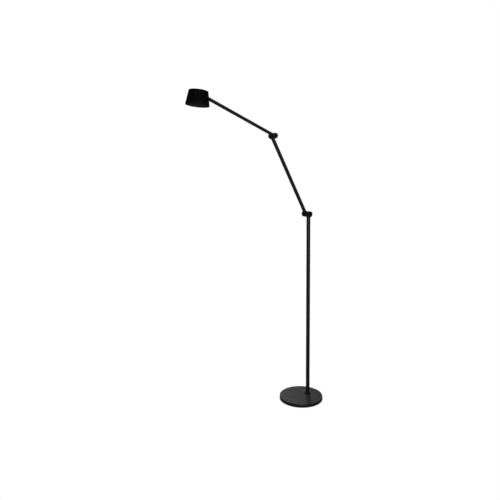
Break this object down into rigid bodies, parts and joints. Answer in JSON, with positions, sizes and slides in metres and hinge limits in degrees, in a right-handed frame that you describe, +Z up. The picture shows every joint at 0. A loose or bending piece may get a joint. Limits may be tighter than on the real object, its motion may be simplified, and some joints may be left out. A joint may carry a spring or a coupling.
{
  "type": "adjustable arm floor lamp",
  "caption": "Floor lamp with a round weighted base, an off-centre pole, two hinged tube arms on side-by-side knuckles and a tilting cone shade with a push switch on top.",
  "frame": {"origin": "centre of the base's underside, on the floor", "axes": "+Z up along the pole; the arms reach towards -X; every hinge axis runs along Y"},
  "size_m": [0.754, 0.24, 1.6503],
  "materials": {
    "black_coat": "satin black powder coat",
    "base_coat": "satin anthracite powder coat",
    "shade_coat": "matte black powder coat",
    "black_plastic": "fine moulded texture",
    "base_foam": "closed-cell foam",
    "black_rubber": "matte",
    "zinc_steel": "zinc plated",
    "nylon": "natural nylon",
    "lead_sheath": "soft PVC",
    "cast_aluminium": "die-cast",
    "led_board": "white solder mask",
    "white_reflector": "glossy white",
    "opal": "opal diffuser"
  },
  "bodies": {
    "stand": {"base_plate": "base_coat", "base_pad": "base_foam", "cord_inlet": "black_rubber", "pole_collar": "black_coat", "pole_tube": "black_coat", "pole_insert": "zinc_steel", "base_nipple": "zinc_steel", "base_washer": "zinc_steel", "base_nut": "zinc_steel", "shoulder_pole_knuckle": "black_coat", "shoulder_pin": "zinc_steel", "shoulder_friction_washer": "nylon", "shoulder_spring_washer": "zinc_steel", "shoulder_nut": "zinc_steel", "shoulder_near_cap": "black_plastic", "pole_lead": "lead_sheath"},
    "lower_arm": {"shoulder_arm_knuckle": "black_coat", "shoulder_far_cap": "black_plastic", "lower_arm_tube": "black_coat", "elbow_lower_knuckle": "black_coat", "elbow_far_cap": "black_plastic", "lower_arm_lead": "lead_sheath"},
    "upper_arm": {"elbow_upper_knuckle": "black_coat", "elbow_pin": "zinc_steel", "elbow_friction_washer": "nylon", "elbow_spring_washer": "zinc_steel", "elbow_nut": "zinc_steel", "elbow_near_cap": "black_plastic", "upper_arm_tube": "black_coat", "tilt_eye": "zinc_steel", "upper_arm_lead": "lead_sheath"},
    "head": {"shade": "shade_coat", "head_carrier": "cast_aluminium", "tilt_bolt": "zinc_steel", "tilt_nut": "zinc_steel", "tilt_washers": "nylon", "top_cap": "shade_coat", "switch_module": "black_plastic", "led_board": "led_board", "reflector": "white_reflector", "diffuser": "opal", "light_housing": "black_plastic"},
    "button": {"switch_button": "black_plastic"}
  },
  "joints": [
    {"name": "shoulder_hinge", "type": "hinge", "parent": "stand", "child": "lower_arm", "pos_m": [0.0455, 0.0136, 1.04], "axis": [0, -1, 0], "range_deg": [-27, 60]},
    {"name": "elbow_hinge", "type": "hinge", "parent": "lower_arm", "child": "upper_arm", "pos_m": [-0.1636, 0.0136, 1.44861], "axis": [0, -1, 0], "range_deg": [-39, 85]},
    {"name": "head_tilt", "type": "hinge", "parent": "upper_arm", "child": "head", "pos_m": [-0.53395, 0, 1.61739], "axis": [0, 1, 0], "range_deg": [-20, 45]},
    {"name": "switch_press", "type": "slide", "parent": "head", "child": "button", "axis": [-0.1219, 0, -0.9925], "range_m": [0, 0.0012], "stiffness_N_per_m": 800}
  ]
}
